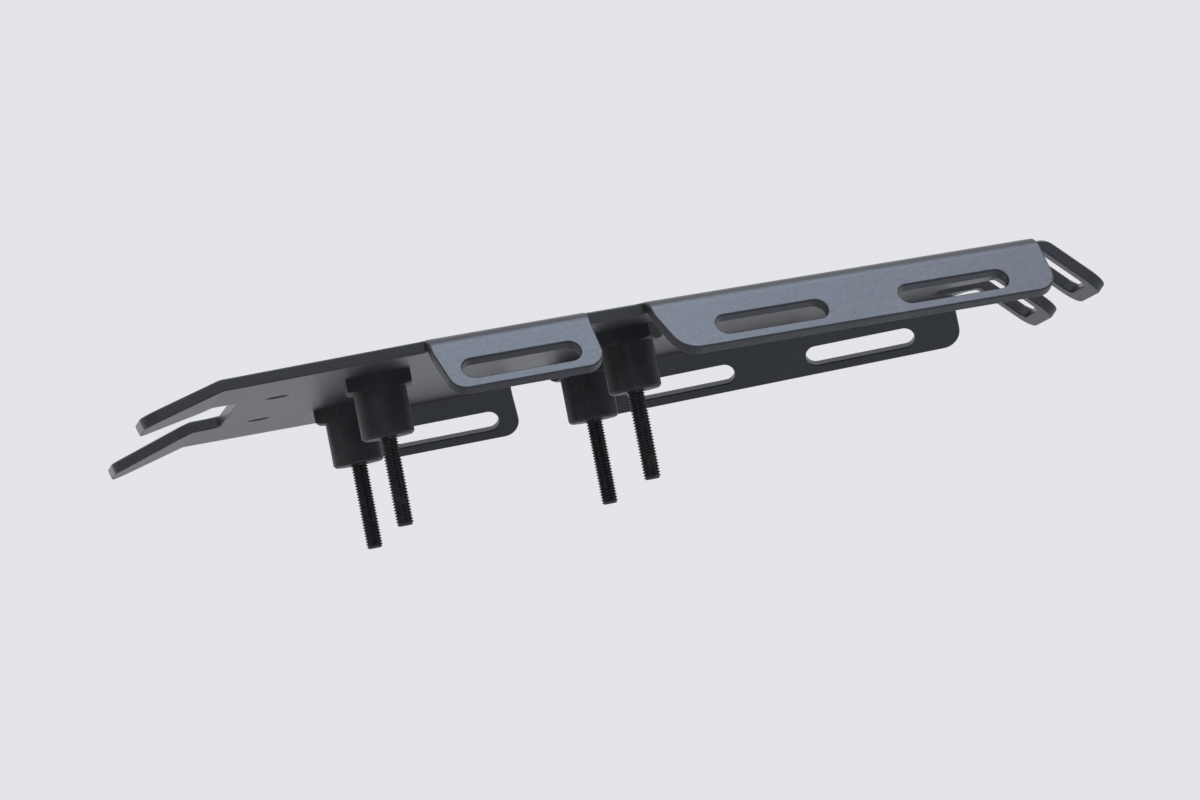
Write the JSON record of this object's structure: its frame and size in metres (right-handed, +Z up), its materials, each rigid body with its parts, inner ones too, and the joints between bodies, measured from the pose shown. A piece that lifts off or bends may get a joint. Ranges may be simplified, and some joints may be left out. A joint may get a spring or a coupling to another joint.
{
  "type": "motorcycle rear rack plate",
  "caption": "Folded black luggage plate with slotted side flanges, a forked nose and strap loops at the tail, on stand-off posts with through bolts, for the rear of a motorcycle.",
  "frame": {"origin": "middle of the four bolts, about half way along the ends that stand out of the posts", "axes": "+X towards the tail, +Y to the right-hand side of the vehicle, +Z up, square to the deck"},
  "size_m": [0.3347, 0.261, 0.0551],
  "materials": {
    "powder_coat": "satin black powder coat",
    "post": "satin black anodised",
    "bolt": "black"
  },
  "bodies": {
    "root": {"rack_plate": "powder_coat", "post_front_left": "post", "post_front_right": "post", "post_rear_left": "post", "post_rear_right": "post", "mounting_bolts": "bolt"}
  },
  "joints": []
}
